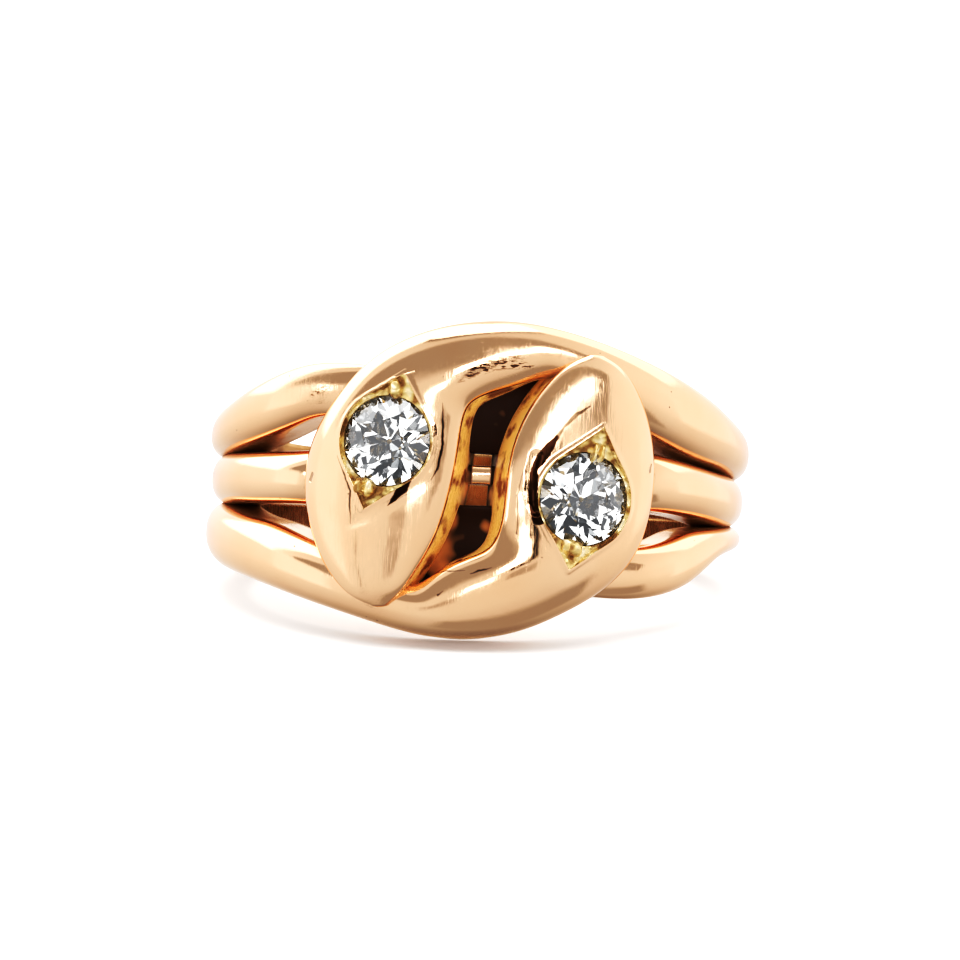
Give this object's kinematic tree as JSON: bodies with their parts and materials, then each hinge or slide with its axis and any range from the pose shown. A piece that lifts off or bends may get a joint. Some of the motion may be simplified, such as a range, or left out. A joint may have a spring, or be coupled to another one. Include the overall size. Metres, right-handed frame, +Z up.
{
  "type": "snake ring",
  "caption": "Two-headed crossover snake finger ring in polished gold, with a round cut stone set in each head.",
  "frame": {"origin": "on the floor under the middle of the ring's outline, as it rests on its side", "axes": "+Z up, heads towards -Y, +X to the right of someone who looks at the heads"},
  "size_m": [0.0216, 0.0226, 0.0122],
  "materials": {
    "gold": "polished rose-yellow gold with fine wear",
    "diamond": "clear, polished facets"
  },
  "bodies": {
    "root": {"gold_ring": "gold", "left_diamond": "diamond", "right_diamond": "diamond"}
  },
  "joints": []
}
